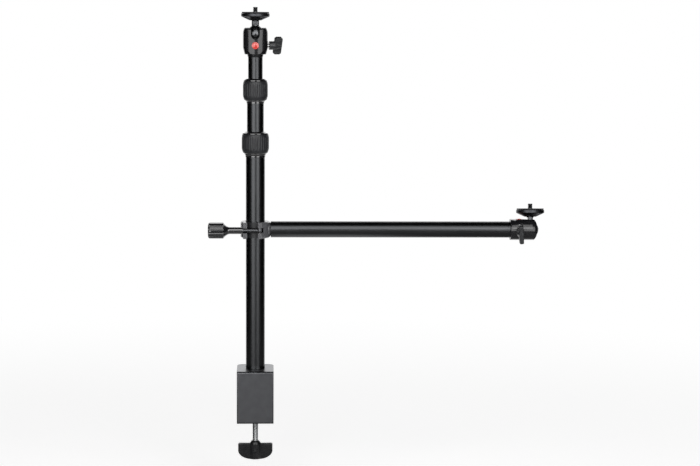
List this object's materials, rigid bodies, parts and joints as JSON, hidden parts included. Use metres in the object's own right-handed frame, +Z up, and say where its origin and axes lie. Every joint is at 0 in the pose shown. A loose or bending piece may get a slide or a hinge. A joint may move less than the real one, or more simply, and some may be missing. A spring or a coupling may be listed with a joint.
{
  "type": "desk mount arm",
  "caption": "Desk clamp with a telescoping twist-lock pole, a sliding side arm on a hinged collar, and a small ball head with a camera screw on the pole and on the arm.",
  "frame": {"origin": "on the desk's top face under the pole's axis: the centre line of the pole meets the underside of the rubber sheet on the upper jaw", "axes": "+X runs along the side arm as pictured, +Z runs up the pole, and -Y faces the clamp's closed front and the picture's viewer"},
  "size_m": [0.4453, 0.0642, 0.6013],
  "materials": {
    "anodised_tube": "satin black anodised",
    "anodised_block": "bead-blasted black anodised",
    "cast_alloy": "die cast, black powder coat",
    "head_alloy": "die cast, satin black coat",
    "plate_alloy": "die cast, satin black coat",
    "plain_alloy": "machined",
    "steel": "bright zinc plated",
    "black_steel": "blackened steel",
    "gloss_nylon": "gloss moulded",
    "knob_nylon": "gloss moulded",
    "moulded_nylon": "satin moulded",
    "liner_nylon": "satin moulded",
    "acetal": "natural white, machined",
    "rubber": "matt",
    "grip_rubber": "matt, moulded grooves",
    "red_badge": "gloss red"
  },
  "bodies": {
    "stand": {"clamp_frame": "anodised_block", "upper_jaw_pad": "rubber", "base_bolt": "steel", "pole_foot": "anodised_tube", "outer_tube": "anodised_tube", "lower_lock_sleeve": "gloss_nylon", "lower_lock_collet": "acetal"},
    "lower_lock": {"lower_lock_nut": "gloss_nylon", "lower_lock_grip": "grip_rubber"},
    "mid_section": {"mid_tube": "anodised_tube", "mid_guide_bush": "acetal", "upper_lock_sleeve": "gloss_nylon", "upper_lock_collet": "acetal"},
    "upper_lock": {"upper_lock_nut": "gloss_nylon", "upper_lock_grip": "grip_rubber"},
    "top_section": {"top_tube": "anodised_tube", "top_guide_bush": "acetal", "top_end_plug": "anodised_tube"},
    "pressure_pad": {"pressure_cup": "anodised_block", "pressure_rubber": "rubber"},
    "screw_and_knob": {"clamp_screw": "steel", "swivel_clip": "steel", "wing_knob": "moulded_nylon", "knob_pin": "black_steel"},
    "liner": {"collar_liner": "liner_nylon"},
    "side_arm": {"fixed_jaw": "cast_alloy", "hinged_jaw": "cast_alloy", "jaw_hinge_pin": "steel", "swing_bolt_pin": "steel", "arm_tube": "anodised_tube", "arm_inner_plug": "anodised_tube", "arm_bolt": "steel", "arm_outer_plug": "anodised_tube"},
    "eye_bolt": {"swing_bolt": "black_steel"},
    "collar_grip": {"collar_knob": "knob_nylon"},
    "top_head": {"top_housing": "head_alloy", "top_base_insert": "plain_alloy", "top_ball_seat": "acetal", "top_thrust_pin": "steel", "top_badge": "red_badge"},
    "top_stud": {"top_ball_stud": "black_steel"},
    "top_table": {"top_plate": "plate_alloy", "top_plate_pad": "rubber", "top_camera_screw": "black_steel"},
    "top_lever": {"top_lock_knob": "moulded_nylon", "top_lock_screw": "steel"},
    "arm_head": {"arm_housing": "head_alloy", "arm_base_insert": "plain_alloy", "arm_ball_seat": "acetal", "arm_thrust_pin": "steel", "arm_badge": "red_badge"},
    "arm_stud": {"arm_ball_stud": "black_steel"},
    "arm_table": {"arm_plate": "plate_alloy", "arm_plate_pad": "rubber", "arm_camera_screw": "black_steel"},
    "arm_lever": {"arm_lock_knob": "moulded_nylon", "arm_lock_screw": "steel"}
  },
  "joints": [
    {"name": "clamp_travel", "type": "slide", "parent": "stand", "child": "pressure_pad", "axis": [0, 0, 1], "range_m": [-0.0221, 0.0246]},
    {"name": "clamp_screw_turn", "type": "hinge", "parent": "pressure_pad", "child": "screw_and_knob", "pos_m": [0, 0.003, -0.0316], "axis": [0, 0, 1], "range_deg": [-6336, 7056]},
    {"name": "middle_tube_slide", "type": "slide", "parent": "stand", "child": "mid_section", "axis": [0, 0, 1], "range_m": [-0.0365, 0.18]},
    {"name": "upper_tube_slide", "type": "slide", "parent": "mid_section", "child": "top_section", "axis": [0, 0, 1], "range_m": [-0.0276, 0.18]},
    {"name": "lower_lock_turn", "type": "hinge", "parent": "stand", "child": "lower_lock", "pos_m": [0, 0, 0.3073], "axis": [0, 0, 1], "range_deg": [0, 120]},
    {"name": "upper_lock_turn", "type": "hinge", "parent": "mid_section", "child": "upper_lock", "pos_m": [0, 0, 0.3765], "axis": [0, 0, 1], "range_deg": [0, 120]},
    {"name": "arm_height", "type": "slide", "parent": "stand", "child": "liner", "axis": [0, 0, 1], "range_m": [-0.162, 0.08]},
    {"name": "arm_swing", "type": "hinge", "parent": "liner", "child": "side_arm", "pos_m": [0, 0, 0.1925], "axis": [0, 0, 1], "continuous": true},
    {"name": "swing_bolt_out", "type": "hinge", "parent": "side_arm", "child": "eye_bolt", "pos_m": [0.0062, -0.0165, 0.1925], "axis": [0, 0, 1], "range_deg": [0, 100]},
    {"name": "collar_knob_turn", "type": "hinge", "parent": "eye_bolt", "child": "collar_grip", "pos_m": [-0.0166, -0.0165, 0.1925], "axis": [-1, 0, 0], "range_deg": [0, 720]},
    {"name": "top_head_pan", "type": "hinge", "parent": "top_section", "child": "top_head", "pos_m": [0, 0, 0.4226], "axis": [0, 0, 1], "continuous": true},
    {"name": "top_ball_tilt", "type": "hinge", "parent": "top_head", "child": "top_stud", "pos_m": [0, 0, 0.44965], "axis": [1, 0, 0], "range_deg": [-25, 90]},
    {"name": "top_plate_spin", "type": "hinge", "parent": "top_stud", "child": "top_table", "pos_m": [0, 0, 0.4667], "axis": [0, 0, 1], "continuous": true},
    {"name": "top_lock_turn", "type": "hinge", "parent": "top_head", "child": "top_lever", "pos_m": [0.0179, 0.0038, 0.43405], "axis": [0.9781, 0.2079, 0], "range_deg": [0, 180]},
    {"name": "arm_head_pan", "type": "hinge", "parent": "side_arm", "child": "arm_head", "pos_m": [0.33765, 0, 0.1925], "axis": [1, 0, 0], "continuous": true},
    {"name": "arm_ball_tilt", "type": "hinge", "parent": "arm_head", "child": "arm_stud", "pos_m": [0.36475, 0, 0.1925], "axis": [0, 0.9945, -0.1045], "range_deg": [0, 115]},
    {"name": "arm_plate_spin", "type": "hinge", "parent": "arm_stud", "child": "arm_table", "pos_m": [0.36475, 0.00178, 0.20941], "axis": [0, 0.1045, 0.9945], "continuous": true},
    {"name": "arm_lock_turn", "type": "hinge", "parent": "arm_head", "child": "arm_lever", "pos_m": [0.34915, -0.0182, 0.19059], "axis": [0, -0.9945, -0.1045], "range_deg": [0, 180]}
  ],
  "couplings": [
    {"joint": "clamp_travel", "follows": "clamp_screw_turn", "m_per_rad": 0.00019894}
  ]
}
